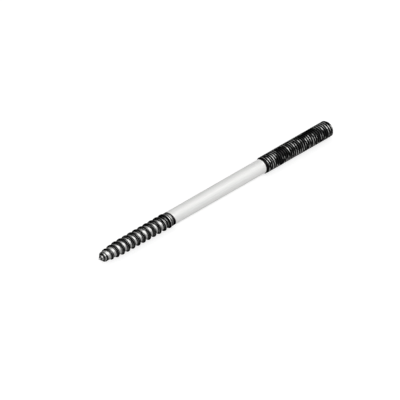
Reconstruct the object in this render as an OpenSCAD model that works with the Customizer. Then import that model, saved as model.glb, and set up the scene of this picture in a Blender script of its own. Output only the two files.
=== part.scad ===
// Hanger bolt: a steel rod with a wood thread and a point at one end, a plain
// shank in the middle and a machine thread with a flat end at the other.
// It lies along X on the plane z = 0, with its point towards -X.
// Both threads are right-handed.

/* [Rod] */
// Overall length, from the point to the flat end
rod_length = 150; // [120:1:200]
// Diameter of the plain shank, the blank that both threads are rolled on
shank_d = 7.0; // [6.7:0.05:7.3]

/* [Wood thread] */
// Length of the wood thread, point included
wood_length = 46; // [34:1:56]
// Distance from one turn to the next
wood_pitch = 3.4; // [3.0:0.05:4.0]
// Crest diameter where the thread meets the shank
wood_crest_d = 7.65; // [7.3:0.05:7.7]
// Crest diameter towards the point, before the taper of the point itself
wood_front_d = 7.15; // [6.8:0.05:7.6]
// Diameter of the core between the turns
wood_core_d = 5.8; // [5.2:0.05:6.2]
// Width of the flat crest of a turn
wood_crest_w = 0.4; // [0.2:0.05:0.6]
// Included angle of a turn's two flanks
wood_angle = 60; // [50:1:70]
// Length of the point, over which core and turns grow to their full girth
point_length = 12; // [9:0.5:14]
// Diameter at the foot of the blunt tip, where the turns begin
tip_d = 4.8; // [4.2:0.1:5.2]
// Included angle of the tip's cone
tip_angle = 83; // [70:1:100]
// Height of the turns where they leave the tip
tip_turn_height = 0.25; // [0.15:0.05:0.4]
// Length over which the core rises to the shank
wood_shoulder = 5; // [3:0.5:7]
// Angle about the axis at which the thread meets the shank
wood_end_angle = 140; // [0:5:355]

/* [Machine thread] */
// Length of the machine thread, from its run-out to the flat end
machine_length = 44; // [30:1:55]
// Major diameter, over the crests
machine_major_d = 8; // [7.7:0.05:8.2]
// Distance from one turn to the next
machine_pitch = 1.25; // [1.0:0.05:1.5]
// Included angle of the thread's V
machine_angle = 60; // [55:1:65]
// Length of the cone between shank and thread
machine_shoulder = 1.2; // [0.8:0.1:2.0]
// Height of the 45-degree chamfer at the flat end
end_chamfer = 0.9; // [0.7:0.05:1.2]

/* [Hidden] */

$fn = 72;

shank_r = shank_d / 2;
core_r = wood_core_d / 2;
tip_r = tip_d / 2;
tip_length = tip_r / tan(tip_angle / 2);

// Steps round one turn of the wood thread, and steps along the curve of the point.
turn_steps = 24;
point_steps = 6;
// The point's outline is nearly a straight taper, rounded off a little at the core.
swell_power = 1.2;
// A turn's foot is sunk this far into the core, so that ridge and core are one solid.
foot_sink = 0.25;
// Least radius of a foot, which keeps the ridge clear of the axis at the tip.
foot_min_r = 0.05;
// Shares of a turn over which the ridge rises, at the tip and at the shank.
tip_fade = 0.5;
shank_fade = 0.2;
// Height that is left of the ridge at its two ends, below the core's surface.
end_height = 0.02;

core_end = wood_length - wood_shoulder;
ridge_turns = (wood_length - tip_length) / wood_pitch;

// A thread of this form has crests of pitch / 8 and roots of pitch / 4 at 60 degrees.
major_r = machine_major_d / 2;
crest_flat = machine_pitch / 8;
root_flat = machine_pitch / 4;
flank_run = (machine_pitch - crest_flat - root_flat) / 2;
minor_r = major_r - flank_run / tan(machine_angle / 2);
machine_start = rod_length - machine_length;
first_crest = machine_start + machine_shoulder;
chamfer_start = rod_length - end_chamfer;
groove_count = floor((chamfer_start - first_crest - crest_flat) / machine_pitch);

// Heights z along the rod are measured from the very tip of the point.

// 0 at the foot of the tip's cone, 1 where the point has its full girth.
function swell(z) =
    1 - pow(1 - min(max((z - tip_length) / (point_length - tip_length), 0), 1), swell_power);

// Radius of the core on the tip's cone and along the point.
function core_at(z) =
    z < tip_length ? max(z, 0) * tan(tip_angle / 2) : tip_r + (core_r - tip_r) * swell(z);

// Radius over the crests: low on the tip, full past the point, a little wider at the shank.
function crest_r(z) =
    let (full_r = (wood_front_d + (wood_crest_d - wood_front_d) * z / wood_length) / 2)
    core_at(z) + tip_turn_height + (full_r - core_r - tip_turn_height) * swell(z);

// Radius without the turns: the core, and the cone that rises from it to the shank.
function bare_r(z) =
    core_at(z) + (shank_r - core_r) * min(max((z - core_end) / wood_shoulder, 0), 1);

// Outline of the point and the core, from the tip to the start of the shank.
function wood_outline() = concat(
    [[0, 0]],
    [for (i = [0 : point_steps], z = tip_length + (point_length - tip_length) * i / point_steps)
        [bare_r(z), z]],
    [[core_r, core_end], [shank_r, wood_length]]
);

// One groove of the machine thread: down a flank, along the root, up the other flank.
function groove(z) = [
    [major_r, z],
    [minor_r, z + flank_run],
    [minor_r, z + flank_run + root_flat],
    [major_r, z + flank_run + root_flat + flank_run]
];

// Outline of the machine thread, whose grooves are closed rings one pitch apart,
// from the end of the shank to the middle of the flat end.
function machine_outline() = concat(
    [[shank_r, machine_start], [major_r, first_crest]],
    [for (i = [0 : groove_count - 1], p = groove(first_crest + crest_flat + i * machine_pitch)) p],
    [[major_r, chamfer_start], [major_r - end_chamfer, rod_length], [0, rod_length]]
);

// 1 along the thread, falling to 0 where it meets the shank and where it leaves the tip.
function fade(turn) = max(min(1, turn / shank_fade, (ridge_turns - turn) / tip_fade), 0);

// Section of the wood thread after so many turns from the shank, as four corners:
// foot and crest on the side of the point, then crest and foot on the side of the shank.
function ridge_section(turn) =
    let (
        z = wood_length - turn * wood_pitch,
        angle = wood_end_angle - turn * 360,
        depth = crest_r(z) - bare_r(z) + foot_sink,
        crest_half = wood_crest_w / 2,
        foot_half = crest_half + max(depth, foot_sink) * tan(wood_angle / 2)
    )
    [for (side = [[-foot_half, 0], [-crest_half, 1], [crest_half, 1], [foot_half, 0]])
        let (
            corner_z = z + side[0],
            foot_r = max(bare_r(corner_z) - foot_sink, foot_min_r),
            rise = end_height + fade(turn) * (crest_r(corner_z) - foot_r),
            r = foot_r + side[1] * rise
        )
        [r * cos(angle), r * sin(angle), corner_z]];

// The turns of the wood thread, as one ridge carried round and along the core.
module wood_ridge() {
    last = floor(ridge_turns * turn_steps);
    corners = [for (i = [0 : last], p = ridge_section(i / turn_steps)) p];
    sides = [for (i = [0 : last - 1], k = [0 : 3])
        let (a = 4 * i + k, b = 4 * i + (k + 1) % 4)
        each [[a, b + 4, b], [a, a + 4, b + 4]]];
    e = 4 * last;
    ends = [[0, 1, 2], [0, 2, 3], [e, e + 2, e + 1], [e, e + 3, e + 2]];
    polyhedron(corners, concat(sides, ends));
}

module hanger_bolt() {
    color("gainsboro")
    translate([-rod_length / 2, 0, major_r])
    rotate([0, 90, 0])
    union() {
        rotate_extrude() polygon(concat(wood_outline(), machine_outline()));
        wood_ridge();
    }
}

hanger_bolt();
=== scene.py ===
# %% [markdown]
# # A hanger bolt in steel
#
# A hanger bolt hangs things from timber. One end is a wood thread with a blunt
# point, the middle is plain round rod, and the other end is a machine thread that
# takes a nut. The solid in the frame already has the true lengths, diameters and
# the turns of the wood thread. What it can't show is how rolled steel looks: turns
# with softly rounded feet, a machine thread that really is a helix, and metal that
# is pale where it is smooth, with the shade between the turns painted into its
# colour as near black and their glints painted as paler lines. This lesson builds
# one surface for all of that, with numpy, and gives it its metal.

import math

import bpy
import numpy as np
from mathutils import Matrix, Vector


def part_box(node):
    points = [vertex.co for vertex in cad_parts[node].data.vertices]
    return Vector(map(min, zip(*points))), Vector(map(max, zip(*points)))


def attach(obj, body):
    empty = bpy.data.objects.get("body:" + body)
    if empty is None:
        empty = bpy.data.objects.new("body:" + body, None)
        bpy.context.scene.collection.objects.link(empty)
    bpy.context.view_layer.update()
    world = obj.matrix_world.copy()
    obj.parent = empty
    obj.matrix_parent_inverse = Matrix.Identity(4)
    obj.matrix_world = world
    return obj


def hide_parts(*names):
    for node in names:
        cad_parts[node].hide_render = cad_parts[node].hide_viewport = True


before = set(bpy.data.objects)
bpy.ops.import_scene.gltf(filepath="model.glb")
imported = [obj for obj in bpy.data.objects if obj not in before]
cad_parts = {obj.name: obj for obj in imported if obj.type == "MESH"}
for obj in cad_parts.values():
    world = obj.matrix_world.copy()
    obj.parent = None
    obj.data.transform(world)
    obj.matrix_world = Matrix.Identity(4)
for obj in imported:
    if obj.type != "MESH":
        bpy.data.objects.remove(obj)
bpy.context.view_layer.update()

# %% [markdown]
# ## The rod's measures
#
# All heights z run along the rod in millimetres from the very tip of the point, as
# they do in the part's source, so that the two can be set side by side. Only at the
# end are they turned into metres along X. The length comes from the box of the solid
# in the frame, and so does the radius over the crests of the machine thread, because
# the rod lies on them.

# %% Length, axis and the three zones
MM_PER_M = 1000
# Rounded to a tenth, because the facets of the solid cut its circles by about 0.01 mm.
node_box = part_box("hanger_bolt")
box_size = [round((high - low) * MM_PER_M, 1) for low, high in zip(*node_box)]
ROD = box_size[0]
MACHINE_MAJOR_R = box_size[2] / 2
AXIS_HEIGHT = MACHINE_MAJOR_R
SHANK_R = 3.5
WOOD_END = 46.0
MACHINE_START = 106.0


def at(z):
    """X in metres of a height z: (z - half the rod's length) / 1000."""
    return (z - ROD / 2) / MM_PER_M


print("rod", ROD, "mm long,", MACHINE_MAJOR_R, "mm over the crests, shank", SHANK_R)

# %% [markdown]
# ## How a thread is laid out on a grid
#
# A thread could be made with the screw modifier, or by cutting a helical groove
# with a boolean. Both leave long thin faces and a seam that shades badly. Here the
# grid itself is sheared: one row of it follows the crest round the rod and climbs
# by exactly one pitch per turn, and the rows beside it follow the flanks and the
# root. After a full turn, a row arrives where the row one pitch further on began,
# so the two are joined there and the surface has no seam. Rows that would pass the
# end of the thread are stopped on a flat ring, to which the plain rod is joined.

# %% The sheared grid
COLUMNS = 72


def sheared(pitch, at_zero, offsets, low, high):
    """Heights of a helical grid.

    centre(i, k) = at_zero + pitch (i + k / COLUMNS)
    z(i, j, k) = centre(i, k) + offsets(centre)[j]
    for turn i, row j within the turn and column k. Returns z and centre, both with
    one line for each i and j, with more turns than reach from low to high.
    """
    first = math.floor((low - at_zero) / pitch) - 2
    last = math.ceil((high - at_zero) / pitch) + 2
    turn = np.arange(first, last + 1)[:, None]
    centre = at_zero + pitch * (turn + np.arange(COLUMNS)[None, :] / COLUMNS)
    z = centre[:, None, :] + offsets(centre).transpose(1, 0, 2)
    centre = np.repeat(centre[:, None, :], z.shape[1], axis=1)
    return z.reshape(-1, COLUMNS), centre.reshape(-1, COLUMNS)


print("one turn has", COLUMNS, "columns")

# %% [markdown]
# A turn's cross-section is a short list of rows, each given by shares: so much of
# the crest's half width, so much of the flank, so much of the gap beyond it, and a
# height between 0 in the gap and 1 on the crest. One side is written down, and the
# other mirrors it.

# %% Rows of a turn
GAP_MIDDLE = np.array([[1, 1, 1, 0.0]])


def both_sides(side, top=None):
    """One pitch of rows from gap to gap, and the side that each is on, -1, 0 or 1."""
    top = np.empty((0, 4)) if top is None else top
    rows = np.concatenate([GAP_MIDDLE, side[::-1], top, side])
    signs = [-1] * (1 + len(side)) + [0] * len(top) + [1] * len(side)
    return rows, np.array(signs, float)


def row_offsets(rows, signs, crest_half, run, gap):
    """Distance of each row from its crest: sign (a crest_half + b run + g gap)."""
    a, b, g = (rows[:, i, None, None] for i in range(3))
    return (a * crest_half + b * run + g * gap) * signs[:, None, None]


def smooth(x):
    """3 x^2 - 2 x^3 with x held between 0 and 1: level at both ends."""
    x = np.clip(x, 0, 1)
    return x * x * (3 - 2 * x)


print("a smooth step is", smooth(0.5), "half way")

# %% [markdown]
# ## The turns of the wood thread
#
# A wood thread is rolled, so nothing on it is quite sharp. Its narrow crest has a
# small round, its flanks stand at 30 degrees to either side, and each foot runs out
# on the core in a fillet. The rows carry this shape round the rod, closest together
# where it bends most. Height and crest radius both shrink towards the point, the
# ridge grows out of the tip over half a turn, and it fades before the shank.

# %% Rows of the wood thread
WOOD_SIDE = np.array(
    [
        [0.6, 0, 0, 1],
        [0.9, 0, 0, 0.99],
        [1, 0.05, 0, 0.955],
        [1, 0.12, 0, 0.885],
        [1, 0.5, 0, 0.5],
        [1, 0.85, 0, 0.16],
        [1, 1, 0, 0.055],
        [1, 1, 0.12, 0.015],
        [1, 1, 0.3, 0],
        [1, 1, 0.65, 0],
    ]
)
WOOD_TOP = np.array([[0, 0, 0, 1.0]])
WOOD_ROWS, WOOD_SIGNS = both_sides(WOOD_SIDE, WOOD_TOP)
print("rows in a turn of the wood thread:", len(WOOD_ROWS))

# %% Radii along the wood thread
WOOD_CORE_R = 2.9
WOOD_CORE_END = 41.0
WOOD_CREST_FRONT_R = 3.575
WOOD_CREST_BACK_R = 3.825
TIP_R = 2.4
TIP_HALF_ANGLE = math.radians(41.5)
TIP = TIP_R / math.tan(TIP_HALF_ANGLE)
TIP_TURN_HEIGHT = 0.25
POINT = 12.0
POINT_POWER = 1.2


def swell(z):
    """1 - (1 - share)^1.2: 0 at the foot of the tip and 1 from the end of the point."""
    return 1 - (1 - np.clip((z - TIP) / (POINT - TIP), 0, 1)) ** POINT_POWER


def wood_core(z):
    """A cone 41.5 degrees from the axis up to TIP, then on to the core's full radius."""
    return np.minimum(np.maximum(z, 0) / TIP, 1) * TIP_R + (WOOD_CORE_R - TIP_R) * swell(z)


def wood_crest(z):
    """The core, and turns that grow from low ones on the tip to their full height."""
    full = WOOD_CREST_FRONT_R + (WOOD_CREST_BACK_R - WOOD_CREST_FRONT_R) * z / WOOD_END
    return wood_core(z) + TIP_TURN_HEIGHT + (full - WOOD_CORE_R - TIP_TURN_HEIGHT) * swell(z)


def wood_bare(z):
    """The core without its turns, and the rise from it to the shank."""
    rise = smooth((z - WOOD_CORE_END) / (WOOD_END - WOOD_CORE_END))
    return wood_core(z) + (SHANK_R - WOOD_CORE_R) * rise


print("tip", round(TIP, 3), "mm long, crest in the middle", round(wood_crest(23.0), 3))

# %% Grid of the wood thread
FLANK_ANGLE = math.radians(30)
WOOD_PITCH = 3.4
WOOD_CREST_HALF = 0.2
WOOD_LEAST_DEPTH = 0.02
# Angle, as a share of a turn from +Y towards +Z, at which the crest meets the shank.
WOOD_END_TURN = 50 / 360
# Shares of a turn over which the ridge grows at the tip and fades at the shank.
TIP_FADE = 0.5
SHANK_FADE = 0.25


def wood_offsets(centre):
    """Each row's distance from its crest, with a flank's run of depth tan 30."""
    run = np.maximum(wood_crest(centre) - wood_bare(centre), WOOD_LEAST_DEPTH)
    run = run * math.tan(FLANK_ANGLE)
    gap = WOOD_PITCH / 2 - WOOD_CREST_HALF - run
    return row_offsets(WOOD_ROWS, WOOD_SIGNS, WOOD_CREST_HALF, run, gap)


wood_z, wood_centre = sheared(
    WOOD_PITCH, WOOD_END - WOOD_END_TURN * WOOD_PITCH, wood_offsets, TIP, WOOD_END
)
wood_turns = len(wood_z) // len(WOOD_ROWS)
wood_height = np.tile(WOOD_ROWS[:, 3], wood_turns)[:, None]
wood_height = wood_height * smooth((wood_centre - TIP) / (TIP_FADE * WOOD_PITCH))
wood_height = wood_height * smooth((WOOD_END - wood_centre) / (SHANK_FADE * WOOD_PITCH))
wood_depth = np.maximum(wood_crest(wood_z) - wood_bare(wood_z), 0)
wood_r = wood_bare(wood_z) + wood_height * wood_depth
print("wood thread: rows", len(wood_z), "widest", round(float(wood_r.max()), 3))

# %% [markdown]
# ## The turns of the machine thread
#
# The solid has closed rings one pitch apart, because a nut's fit is measured on
# true cylinders. The real thread is one helix. Crest and root are flats of an eighth
# and a quarter of the pitch, as the standard form has them. The crest rises from the
# shank over the first millimetre or so, as on a rolled thread, where metal pushed out
# of the root becomes the crest, and the chamfer at the end cuts the last turns off.

# %% Rows and radii of the machine thread
MACHINE_SIDE = np.array(
    [
        [0.6, 0, 0, 1],
        [1, 0.06, 0, 0.95],
        [1, 0.5, 0, 0.5],
        [1, 0.9, 0, 0.1],
        [1, 1, 0.2, 0.02],
    ]
)
MACHINE_ROWS, MACHINE_SIGNS = both_sides(MACHINE_SIDE)
MACHINE_PITCH = 1.25
# Half an eighth and half a quarter of the pitch, rounded, and within 0.001 mm the
# radius that flanks of 30 degrees reach between them.
MACHINE_CREST_HALF = 0.078
MACHINE_ROOT_HALF = 0.156
MACHINE_MINOR_R = 3.3235
MACHINE_RUN = MACHINE_PITCH / 2 - MACHINE_CREST_HALF - MACHINE_ROOT_HALF
# Lengths over which the crests rise from the shank and the roots sink into it.
CREST_RISE = 1.2
ROOT_FALL = 2.5
CHAMFER = 0.9


def machine_offsets(centre):
    """Each row's distance from its crest, the same along the whole thread."""
    crest, run, root = MACHINE_CREST_HALF, MACHINE_RUN, MACHINE_ROOT_HALF
    return row_offsets(MACHINE_ROWS, MACHINE_SIGNS, crest, run, root)


def machine_radius(z, height):
    """Radius between root and crest, cut by the chamfer's 45-degree cone."""
    past = z - MACHINE_START
    crest = SHANK_R + (MACHINE_MAJOR_R - SHANK_R) * smooth(past / CREST_RISE)
    root = SHANK_R - (SHANK_R - MACHINE_MINOR_R) * smooth(past / ROOT_FALL)
    cone = MACHINE_MAJOR_R - (z - (ROD - CHAMFER))
    return np.minimum(root + height * (crest - root), cone)


print("machine thread: root radius", round(MACHINE_MINOR_R, 4))

# %% Grid of the machine thread
# The grid begins a little before the thread and ends where the end's edge is broken.
MACHINE_LEAD = 0.4
EDGE = 0.06
machine_low = MACHINE_START - MACHINE_LEAD
edge_z = ROD - EDGE
first_crest = MACHINE_START + CREST_RISE + MACHINE_CREST_HALF
machine_z = sheared(MACHINE_PITCH, first_crest, machine_offsets, machine_low, edge_z)[0]
machine_turns = len(machine_z) // len(MACHINE_ROWS)
machine_height = np.tile(MACHINE_ROWS[:, 3], machine_turns)[:, None]
machine_r = machine_radius(machine_z, machine_height)
print("machine thread: rows", len(machine_z), "widest", round(float(machine_r.max()), 3))

# %% [markdown]
# ## Flat rings: point, shank and end
#
# Between and beyond the threads the rod is plainly round, so flat rings are enough.
# The point ends in a small round nose and not in a needle. The shank's rings are a
# few millimetres apart. The flat end has a tiny broken edge inside its chamfer.

# %% Heights and radii of the flat rings
# The nose is rounded by 0.25 sqrt(n) (1 - n)^2 on top of the cone, with n = z / NOSE.
NOSE = 0.5
NOSE_ROUND = 0.25
tip_z = np.array([0, 0.012, 0.05, 0.11, 0.2, 0.32, NOSE, 0.9, 1.4, 1.9, 2.3, 2.55, TIP])
nose = np.clip(tip_z / NOSE, 0, 1)
tip_r = wood_bare(tip_z) + NOSE_ROUND * np.sqrt(nose) * (1 - nose) ** 2

SHANK_RINGS = 17
shank_z = np.linspace(WOOD_END, machine_low, SHANK_RINGS)
shank_r = np.full(shank_z.shape, SHANK_R)

edge_r = MACHINE_MAJOR_R - CHAMFER + EDGE
face_z = np.array([edge_z, ROD - 0.015, ROD, ROD, ROD, ROD])
face_r = np.array([edge_r, edge_r - 0.07, edge_r - 0.16, 2.2, 1.2, 0.0])
print("rings:", len(tip_z), len(shank_z), len(face_z))

# %% [markdown]
# ## One closed skin
#
# The rings and the two sheared grids are numbered in one list of points. A row that
# was stopped on a ring takes the numbers of that ring's own points, so nothing is
# doubled, and the triangles that shrink to nothing there are dropped. The two ends
# are single points. The result is one watertight skin whose faces look outwards.

# %% Number points and join rows
class Skin:
    """Points and triangles of the rod, collected ring by ring and grid by grid."""

    def __init__(self):
        self.z, self.r, self.k, self.height = [], [], [], []
        self.faces, self.count = [], 0

    def add(self, z, r, k, height=0.0):
        """Takes points in any shape of array and returns their numbers."""
        z, r, k, height = np.broadcast_arrays(z, r, k, height)
        ids = self.count + np.arange(z.size).reshape(z.shape)
        for store, values in zip((self.z, self.r, self.k, self.height), (z, r, k, height)):
            store.append(np.array(values, float).ravel())
        self.count += z.size
        return ids

    def ring(self, z, r):
        """A ring of points round the axis, or a single one where its radius is 0."""
        if r == 0:
            return np.full(COLUMNS, self.add(z, 0.0, [0])[0])
        return self.add(z, r, np.arange(COLUMNS))

    def band(self, low, high, ahead=0):
        """Triangles between rows of numbers, the last column joined to the first.

        In a sheared grid the last column of a row meets the first column of the row
        that lies ahead of it by so many rows, which are one turn.
        """
        a, d = low, high
        b, c = np.roll(low, -1, axis=-1), np.roll(high, -1, axis=-1)
        if ahead:
            keep = len(low) - ahead
            b[:keep, -1], c[:keep, -1] = low[ahead:, 0], high[ahead:, 0]
            b[keep:, -1], c[keep:, -1] = high[-1, 0], high[-1, 0]
        pairs = [np.stack([a, b, c], -1), np.stack([a, c, d], -1)]
        self.faces += [p.reshape(-1, 3) for p in pairs]


skin = Skin()
print("an empty skin has", skin.count, "points")

# %% Put the rod together
# A point of a row that passes a ring, or comes this near to it in mm, stops on it.
STOP = 1e-4


def add_rings(zs, rs, start=None):
    """Joins flat rings one after another and returns the last one."""
    last = start
    for z, r in zip(zs, rs):
        ids = skin.ring(z, r)
        if last is not None:
            skin.band(last, ids)
        last = ids
    return last


def add_thread(z, r, height, low, high, low_ids, high_ids, rows):
    """Joins a sheared grid to the ring at its low end and the ring at its high end."""
    ids = skin.add(z, r, np.arange(COLUMNS)[None, :], height)
    ids = np.where(z <= low + STOP, low_ids[None, :], ids)
    ids = np.where(z >= high - STOP, high_ids[None, :], ids)
    skin.band(ids[:-1], ids[1:], ahead=rows)


tip_ring = add_rings(tip_z, tip_r)
shank_low = skin.ring(shank_z[0], shank_r[0])
shank_high = add_rings(shank_z[1:], shank_r[1:], shank_low)
edge_ring = skin.ring(face_z[0], face_r[0])
add_rings(face_z[1:], face_r[1:], edge_ring)
wood_ends = (TIP, WOOD_END, tip_ring, shank_low)
add_thread(wood_z, wood_r, wood_height, *wood_ends, len(WOOD_ROWS))
machine_ends = (machine_low, edge_z, shank_high, edge_ring)
add_thread(machine_z, machine_r, machine_height, *machine_ends, len(MACHINE_ROWS))
print("collected", skin.count, "points")

# %% Drop what shrank to nothing and place the points
faces = np.concatenate(skin.faces)
a, b, c = faces.T
faces = faces[(a != b) & (b != c) & (c != a)]
used, faces = np.unique(faces, return_inverse=True)
faces = faces.reshape(-1, 3)
z, r, k, height = (np.concatenate(v)[used] for v in (skin.z, skin.r, skin.k, skin.height))
angle = 2 * math.pi * k / COLUMNS
y_mm = r * np.cos(angle)
z_mm = AXIS_HEIGHT + r * np.sin(angle)
points = np.stack([at(z), y_mm / MM_PER_M, z_mm / MM_PER_M], -1)
print("points", len(points), "triangles", len(faces))

# %% [markdown]
# Before the skin becomes an object it is proved: every edge must be shared by
# exactly two triangles, once in each direction, and the volume must be positive,
# which it is only when the faces look outwards.

# %% Prove that the skin is closed
edges = np.concatenate([faces[:, [0, 1]], faces[:, [1, 2]], faces[:, [2, 0]]])
there = edges[:, 0] * len(points) + edges[:, 1]
back = edges[:, 1] * len(points) + edges[:, 0]
closed = np.array_equal(np.sort(there), np.sort(back))
single = len(np.unique(there)) == len(there)
p0, p1, p2 = (points[faces[:, i]] for i in range(3))
volume = float(np.einsum("ij,ij->i", p0, np.cross(p1, p2)).sum() / 6)
print("closed:", closed, "each edge once:", single, "volume mm3:", round(volume * MM_PER_M**3, 1))

# %% [markdown]
# ## From points to an object
#
# Two numbers go with each point, for the metal to be coloured by. Height is 1 on a
# crest and 0 in a gap. Land says how far a point of the wood thread is from the
# nearest crest, 0 on it and 1 in the middle between two, and it runs on smoothly
# across the flat core, where the height alone says nothing.

# %% Make the object
# Edges that bend more than this stay sharp. They are few: where the chamfer cuts the
# last turns, on the low turns of the point, and where the turns run out at the shank.
SHARP_FROM = math.radians(44)
turns = (z - WOOD_END) / WOOD_PITCH + WOOD_END_TURN - k / COLUMNS
land = 2 * np.abs(turns - np.round(turns))

mesh = bpy.data.meshes.new("rod_skin")
mesh.from_pydata(points.tolist(), [], faces.tolist())
mesh.update()
for name, values in (("height", height), ("land", land)):
    layer = mesh.attributes.new(name, "FLOAT", "POINT")
    layer.data.foreach_set("value", values.astype(np.float32))
mesh.polygons.foreach_set("use_smooth", np.ones(len(faces), bool))
mesh.set_sharp_from_angle(angle=SHARP_FROM)
rod = bpy.data.objects.new("rod_skin", mesh)
bpy.context.scene.collection.objects.link(rod)
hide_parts("hanger_bolt")
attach(rod, "root")
print("rod made,", len(mesh.polygons), "faces")

# %% [markdown]
# ## The metal
#
# The rod is plain steel. Drawn smooth, the shank is pale and satin, with faint
# marks along its length. In the threads the shade between the turns is painted into
# the colour as near black in the grooves and on the flanks, and paler lines and
# crests are painted glints, put where tools and later handling would rub. It could
# be several materials, one for each zone, but their borders would follow the faces.
# One shader does it all instead, by mixing dark and bright metal with masks, which
# are numbers from 0 to 1 worked out from the place and from height and land.

# %% Short calls for nodes
class Nodes:
    """The node tree of a material or world, with calls that add and link its nodes."""

    def __init__(self, owner):
        owner.use_nodes = True
        self.tree = owner.node_tree
        self.tree.nodes.clear()

    def add(self, kind, inputs=None, **settings):
        node = self.tree.nodes.new(kind)
        for key, value in settings.items():
            setattr(node, key, value)
        for key, value in (inputs or {}).items():
            if isinstance(value, bpy.types.NodeSocket):
                self.tree.links.new(value, node.inputs[key])
            else:
                node.inputs[key].default_value = value
        return node

    def math(self, operation, one, two=0.0):
        return self.add("ShaderNodeMath", {0: one, 1: two}, operation=operation).outputs[0]

    def times(self, *values):
        """The product of two or more values."""
        product = values[0]
        for value in values[1:]:
            product = self.math("MULTIPLY", product, value)
        return product

    def plus(self, one, two):
        return self.math("ADD", one, two)

    def larger(self, one, two):
        return self.math("MAXIMUM", one, two)

    def minus(self, one, two):
        return self.math("SUBTRACT", one, two)

    def step(self, value, start, end, low=0.0, high=1.0):
        """Smooth change from low, where value is start, to high, where it is end."""
        ends = {"From Min": start, "From Max": end, "To Min": low, "To Max": high}
        inputs = {"Value": value, **ends}
        node = self.add("ShaderNodeMapRange", inputs, interpolation_type="SMOOTHSTEP")
        return node.outputs["Result"]

    def waves(self, value, period, peak=0.0):
        """cos(2 pi (value - peak) / period): 1 at peak and at every period from it."""
        turns = self.times(self.minus(value, peak), 2 * math.pi / period)
        return self.math("COSINE", turns)

    def mix(self, share, one, two):
        node = self.add("ShaderNodeMix", {0: share, 6: one, 7: two}, data_type="RGBA")
        return node.outputs[2]

    def noise(self, vector, per_metre, detail, rough):
        """Soft noise around 0.5, with so many waves in a metre along X, Y and Z."""
        place = self.add("ShaderNodeMapping", {"Vector": vector, "Scale": per_metre})
        inputs = {"Vector": place.outputs[0], "Scale": 1.0, "Detail": detail, "Roughness": rough}
        return self.add("ShaderNodeTexNoise", inputs).outputs["Fac"]


steel = bpy.data.materials.new("steel")
metal = Nodes(steel)
print("material", steel.name)

# %% [markdown]
# The grain of the metal is read in object coordinates. On the shank it is stretched
# along the rod, as drawing marks are. On the threads it is fine and even. Wear and the
# painted glints need two more patterns: broad patches, and streaks that run round the
# rod as the dies did.

# %% Place and grain
place = metal.add("ShaderNodeTexCoord").outputs["Object"]
x_here = metal.add("ShaderNodeSeparateXYZ", {"Vector": place}).outputs["X"]
height_here = metal.add("ShaderNodeAttribute", attribute_name="height").outputs["Fac"]
land_here = metal.add("ShaderNodeAttribute", attribute_name="land").outputs["Fac"]
drawn = metal.noise(place, (60, 2600, 2600), 4.0, 0.6)
grain = metal.noise(place, (3000, 3000, 3000), 4.0, 0.6)


def wear_and_glint_patterns(where):
    """Patches about 6 mm across, and streaks about 1 mm wide that run round the rod."""
    patches = metal.noise(where, (160, 160, 160), 2.0, 0.5)
    streaks = metal.noise(where, (900, 240, 240), 2.0, 0.6)
    return patches, streaks


patches, streaks = wear_and_glint_patterns(place)


def along(start, end, low=0.0, high=1.0):
    """Smooth change from low at the height start to high at the height end."""
    return metal.step(x_here, at(start), at(end), low, high)


print("patterns ready:", len(metal.tree.nodes), "nodes")

# %% [markdown]
# Three masks say which zone a point is in. The dark of the wood thread ends on the
# shank in a slanting line, because the last turn runs out there on one side first.

# %% Zones
SLANT = (1.0, 0.16, 0.17)
# The wood thread's painted shade reaches this far onto the shank.
DARK_PAST_WOOD = 0.35
SOFT_EDGE = 0.08
slanted = metal.add("ShaderNodeVectorMath", {0: place, 1: SLANT}, operation="DOT_PRODUCT")
wood_edge = at(WOOD_END + DARK_PAST_WOOD) + SLANT[2] * AXIS_HEIGHT / MM_PER_M
half_edge = SOFT_EDGE / MM_PER_M
is_wood = metal.step(slanted.outputs["Value"], wood_edge + half_edge, wood_edge - half_edge)
is_machine = along(MACHINE_START - SOFT_EDGE, MACHINE_START + SOFT_EDGE)
is_face = along(ROD - 0.03, ROD - 0.005)
is_thread = metal.larger(is_wood, is_machine)
print("wood zone ends at", round(wood_edge * MM_PER_M, 2), "mm from the middle")

# %% [markdown]
# ## Bright bands between the coarse turns
#
# The middle of each gap keeps bright steel, while the feet, flanks and crests of the
# turns around it are painted near black as the shade between the turns. The band is
# where land is high and height is nothing. Patches make it wider and narrower along
# its way, so that no two turns are alike. It is wider on the point, where the gaps
# are shallow, and it stops before the shank, where the painted shade covers the turns.

# %% Bands
UNEVEN = 0.7
WIDER_AT_POINT = 0.14
# Heights at which a change begins and ends.
TIP_FOOT = (2.6, 3.4)
POINT_GAPS = (13.0, 6.0)
LAST_BAND = (40.6, 39.4)
FAINT_BAND = (43.6, 44.4)
DARK_RING = (45.4, 45.0)
wander = metal.times(metal.minus(patches, 0.5), UNEVEN)
reach = metal.plus(land_here, wander)
reach = metal.plus(reach, along(*POINT_GAPS, 0.0, WIDER_AT_POINT))
on_core = metal.step(height_here, 0.05, 0.01)
# Past these heights the band gives way to painted shade, so the last turns are dark all round.
before_shank = metal.larger(along(*LAST_BAND), along(*FAINT_BAND, 0.0, 0.4))
before_shank = metal.times(before_shank, along(*DARK_RING))
band = metal.times(metal.step(reach, 0.67, 0.77), on_core, before_shank)
band = metal.times(band, along(*TIP_FOOT, 0.1, 1.0))
print("bands run from", TIP_FOOT[0], "to", LAST_BAND[0], "mm")
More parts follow.
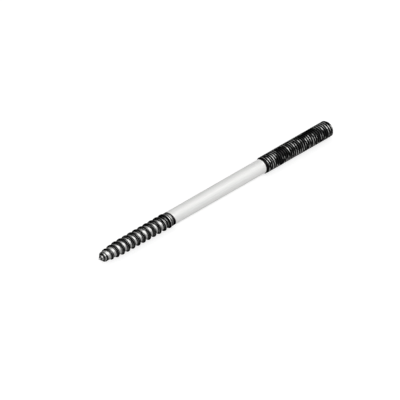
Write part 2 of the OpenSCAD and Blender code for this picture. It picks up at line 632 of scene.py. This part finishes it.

# %% [markdown]
# ## Painted glint lines on the coarse turns
#
# On the dark flanks and crests, thin paler lines that run round with the thread are
# painted highlights, glints at each third of the way from crest to gap, and here and
# there a streak makes them fainter. Near the shank, where the core rises and the gaps
# are filled, broader painted glint arcs on the crests take their place. On the cone
# of the tip a few plain rings are painted as its highlight.

# %% Lines, arcs and rings
LINES_APART = 1 / 3
ARCS_APART = 2 / 3
RINGS_APART = 1.1
RING_AT = 1.45
ARCS_FROM = (39.2, 40.4)
LINES_STOP = (45.3, 45.0)
RINGS_STOP = (2.8, 2.65)
near_shank = along(*ARCS_FROM)
# Painted highlights: thin paler lines stand in for glints along the turns.
lines = metal.step(metal.waves(land_here, LINES_APART), 0.7, 1.0)
lines = metal.times(lines, metal.step(streaks, 0.4, 0.6, 0.1, 0.5), along(*TIP_FOOT))
lines = metal.times(lines, metal.minus(1.0, near_shank))
# Painted highlights: broader glint arcs on the last crests before the shank.
arcs = metal.step(metal.waves(land_here, ARCS_APART), 0.55, 0.95)
arcs = metal.times(arcs, metal.step(height_here, 0.5, 0.95, 0.35, 0.9), near_shank)
lines = metal.times(metal.larger(lines, arcs), along(*LINES_STOP))
# Painted highlight: paler rings on the cone of the tip.
rings = metal.step(metal.waves(x_here, RINGS_APART / MM_PER_M, at(RING_AT)), 0.0, 0.9, 0.0, 0.6)
lines = metal.larger(lines, metal.times(rings, along(*RINGS_STOP)))
print("arcs take over at", ARCS_FROM[0], "mm;", len(metal.tree.nodes), "nodes")

# %% [markdown]
# ## Glints on the fine crests
#
# The crests of the machine thread carry painted glints: paler steel on the crests,
# laid where nuts and fingers would rub them, and never all round. Streaks and patches
# together break the bright lines and put them into groups. The pattern is read 90 mm
# further along, only because the noise there has some of its bright groups near the
# shank, as the picture does. The first turn, which no nut reaches, is dark.

# %% Glints
FURTHER_ALONG = (0.09, 0.0, 0.0)
GROUPED = 0.9
GLINTS_FROM = (106.9, 107.9)
elsewhere = metal.add("ShaderNodeVectorMath", {0: place, 1: FURTHER_ALONG}, operation="ADD")
crest_patches, crest_streaks = wear_and_glint_patterns(elsewhere.outputs[0])
groups = metal.plus(crest_streaks, metal.times(metal.minus(crest_patches, 0.5), GROUPED))
# Painted highlights: groups of paler crests stand in for glints, as wear on the crests.
glint_wear = metal.step(groups, 0.44, 0.62, 0.02, 1.0)
on_crest = metal.step(height_here, 0.65, 0.95)
glints = metal.times(on_crest, glint_wear, along(*GLINTS_FROM))
print("glints begin at", GLINTS_FROM[0], "mm")

# %% [markdown]
# ## Colours
#
# Four greys are enough, each mottled a little by the grain: near black that paints
# the shade in the grooves and on the flanks, bright steel on the bands and the flat
# end, a paler grey that paints glints on lines and crests, where they would also be
# rubbed, and the pale satin coat of the shank.

# %% Colours of the metal
def mottled(pattern, dark, light):
    """Grey that goes from dark to light as the pattern goes from 0.3 to 0.7."""
    return metal.mix(metal.step(pattern, 0.3, 0.7), dark, light)


# Near black paints the shade between the turns into the grooves and flanks.
painted_shade_black = mottled(grain, (0.004, 0.004, 0.004, 1), (0.008, 0.008, 0.008, 1))
bright = mottled(grain, (0.26, 0.26, 0.256, 1), (0.34, 0.34, 0.334, 1))
# A paler grey paints glints on lines and crests, where they would also be rubbed.
wear_and_glint_grey = mottled(grain, (0.28, 0.28, 0.275, 1), (0.38, 0.38, 0.375, 1))
pale = mottled(drawn, (0.74, 0.74, 0.73, 1), (0.8, 0.8, 0.79, 1))

wood_colour = metal.mix(band, metal.mix(lines, painted_shade_black, wear_and_glint_grey), bright)
machine_colour = metal.mix(glints, painted_shade_black, wear_and_glint_grey)
colour = metal.mix(is_wood, pale, wood_colour)
colour = metal.mix(is_machine, colour, machine_colour)
colour = metal.mix(is_face, colour, bright)
print("colours mixed:", len(metal.tree.nodes), "nodes")

# %% [markdown]
# ## How smooth it is
#
# Oiled flanks are smoother than the satin of the shank and of the bands, which
# spread a lamp's reflection into a long soft glow. Under its pale coat the shank
# hardly reflects as metal, while the bare threads do. The end face has fine turned
# marks, rings round the axis that are too shallow to model, so they are bump only.

# %% Roughness, bump and the shader
OILED_SMOOTHER = 0.2
COATED = 0.08
TURNED_APART = 0.42
TURNED_DEPTH = 0.35
GRAIN_DEPTH = 0.4
satin = metal.step(drawn, 0.25, 0.75, 0.42, 0.54)
oiled = metal.times(is_thread, metal.minus(1.0, band))
rough = metal.minus(satin, metal.times(oiled, OILED_SMOOTHER))
metallic = metal.step(is_thread, 0.0, 1.0, COATED, 1.0)

flat = metal.add("ShaderNodeVectorMath", {0: place, 1: (0, 1, 1)}, operation="MULTIPLY")
axis = (0, 0, AXIS_HEIGHT / MM_PER_M)
from_axis = metal.add(
    "ShaderNodeVectorMath", {0: flat.outputs[0], 1: axis}, operation="DISTANCE"
).outputs["Value"]
turned = metal.waves(from_axis, TURNED_APART / MM_PER_M, TURNED_APART / 4 / MM_PER_M)
turned = metal.times(turned, is_face, TURNED_DEPTH)
relief = metal.plus(metal.plus(drawn, metal.times(grain, GRAIN_DEPTH)), turned)
bump = metal.add("ShaderNodeBump", {"Height": relief, "Strength": 0.12, "Distance": 0.00004})
surface = metal.add(
    "ShaderNodeBsdfPrincipled",
    {
        "Base Color": colour,
        "Roughness": rough,
        "Normal": bump.outputs[0],
        "Metallic": metallic,
        "Specular Tint": (0.2, 0.2, 0.2, 1),
    },
)
metal.add("ShaderNodeOutputMaterial", {"Surface": surface.outputs[0]})
mesh.materials.append(steel)
print("steel built with", len(metal.tree.nodes), "nodes")

# %% [markdown]
# ## Floor
#
# The rod lies on a plain white ground. A white sheet under more light would do, but
# that light would wash out the rod. Here the floor is grey to the lamps, which keeps
# the rod's shadow on it, and gives off the rest of its white only to rays from the
# camera, from reflections and through glass, so that the metal sees it white too.

# %% Floor
FLOOR_HALF = 3.0
FLOOR_GREY = (0.5, 0.5, 0.5, 1)
FLOOR_GLOW = 0.7
corners = [(x * FLOOR_HALF, y * FLOOR_HALF, 0) for x, y in ((-1, -1), (1, -1), (1, 1), (-1, 1))]
floor_mesh = bpy.data.meshes.new("floor")
floor_mesh.from_pydata(corners, [], [(0, 1, 2, 3)])
floor = bpy.data.objects.new("floor", floor_mesh)
bpy.context.scene.collection.objects.link(floor)

sheet = bpy.data.materials.new("ground")
ground = Nodes(sheet)
ray = ground.add("ShaderNodeLightPath").outputs
seen = ground.larger(ray["Is Camera Ray"], ray["Is Glossy Ray"])
seen = ground.larger(seen, ray["Is Transmission Ray"])
glow_strength = ground.times(seen, FLOOR_GLOW)
matt = ground.add("ShaderNodeBsdfDiffuse", {"Color": FLOOR_GREY})
glow = ground.add("ShaderNodeEmission", {"Color": (1, 1, 1, 1), "Strength": glow_strength})
both = ground.add("ShaderNodeAddShader", {0: matt.outputs[0], 1: glow.outputs[0]})
ground.add("ShaderNodeOutputMaterial", {"Surface": both.outputs[0]})
floor_mesh.materials.append(sheet)
print("floor", 2 * FLOOR_HALF, "m wide")

# %% [markdown]
# ## The room around the rod
#
# Satin metal shows what stands around it, so the surroundings matter more than the
# lamps. The camera and glass see plain white. Reflections see a white horizon that
# joins the floor, then a dark wall, then a bright ceiling panel over the near side,
# which makes the long light line on the shank. The matt part of the metal gets soft
# light from all round, a little more from behind, so that no side is lost in black.

# %% World
CEILING = 4.4
world = bpy.data.worlds.new("studio")
bpy.context.scene.world = world
sky = Nodes(world)
ray = sky.add("ShaderNodeLightPath").outputs
direction = sky.add("ShaderNodeTexCoord").outputs["Generated"]
parts = sky.add("ShaderNodeSeparateXYZ", {"Vector": direction}).outputs
horizon = sky.step(parts["Z"], 0.02, 0.15, 1.0, 0.05)
panel = sky.step(parts["Z"], 0.36, 0.56, 0.0, CEILING)
panel = sky.times(panel, sky.step(parts["Y"], -0.1, 0.15, 1.0, 0.2))
reflected = sky.times(ray["Is Glossy Ray"], sky.larger(horizon, panel))
direct = sky.larger(ray["Is Camera Ray"], ray["Is Transmission Ray"])
all_round = sky.step(parts["Y"], -0.2, 0.6, 0.5, 0.76)
all_round = sky.times(sky.minus(1.0, ray["Is Glossy Ray"]), all_round)
strength = sky.larger(sky.larger(direct, reflected), all_round)
air = sky.add("ShaderNodeBackground", {"Color": (1, 1, 1, 1), "Strength": strength})
sky.add("ShaderNodeOutputWorld", {"Surface": air.outputs[0]})
print("world built with", len(sky.tree.nodes), "nodes")

# %% [markdown]
# Three soft boxes finish the light. The first stands low in front, to the right, and
# lights the crests and bands that face the camera. The second is a wide key from the
# side of the point, and the third a small one that picks out the tip.

# %% Lamps
def lamp(name, toward, distance, across, along_rod, radiance):
    """A soft box at distance toward a direction, with one side along the rod.

    Its power is radiance times its area times pi, so a larger box isn't brighter to
    look at.
    """
    data = bpy.data.lights.new(name, "AREA")
    data.shape, data.size, data.size_y = "RECTANGLE", across, along_rod
    data.energy = radiance * across * along_rod * math.pi
    back = Vector(toward).normalized()
    side = Vector((1, 0, 0)).cross(back).normalized()
    turn = Matrix((side, back.cross(side), back)).transposed()
    obj = bpy.data.objects.new(name, data)
    obj.rotation_mode = "QUATERNION"
    obj.rotation_quaternion = turn.to_quaternion()
    obj.location = back * distance
    bpy.context.scene.collection.objects.link(obj)
    print(name, "gives", round(data.energy, 2), "W")


lamp("strip_box", (0.6, -0.7, 0.34), 0.6, 0.45, 0.18, 3.9)
lamp("key", (-0.62, -0.6, 0.5), 0.7, 0.7, 0.3, 2.3)
lamp("end_card", (-0.95, 0.12, 0.22), 0.7, 0.3, 0.2, 3.0)

# %% [markdown]
# ## Camera
#
# The picture is an isometric drawing, so the camera has no perspective. It looks
# down on the rod from the side of the point, so that the rod climbs to the right
# at 30 degrees across the frame, and the rod's middle stands a little off the
# middle of the frame, as it does in the picture.

# %% Camera
VIEW_WIDTH = 0.1818
PIXEL = VIEW_WIDTH / 400
PIXELS_RIGHT = 13.45
PIXELS_UP = 6.4
DISTANCE = 0.6
forward = Vector((0.5985, 0.5787, -0.554)).normalized()
right = Vector((0.6948, -0.7192, 0)).normalized()
up = right.cross(forward)
middle = Vector((0, 0, AXIS_HEIGHT / MM_PER_M))
target = middle - right * PIXELS_RIGHT * PIXEL - up * PIXELS_UP * PIXEL
camera_data = bpy.data.cameras.new("camera")
camera_data.type = "ORTHO"
camera_data.ortho_scale = VIEW_WIDTH
camera = bpy.data.objects.new("camera", camera_data)
camera.location = target - forward * DISTANCE
camera.rotation_mode = "QUATERNION"
camera.rotation_quaternion = forward.to_track_quat("-Z", "Y")
bpy.context.scene.collection.objects.link(camera)
bpy.context.scene.camera = camera
bpy.context.scene.view_settings.view_transform = "Standard"
print("camera at", [round(v, 3) for v in camera.location])
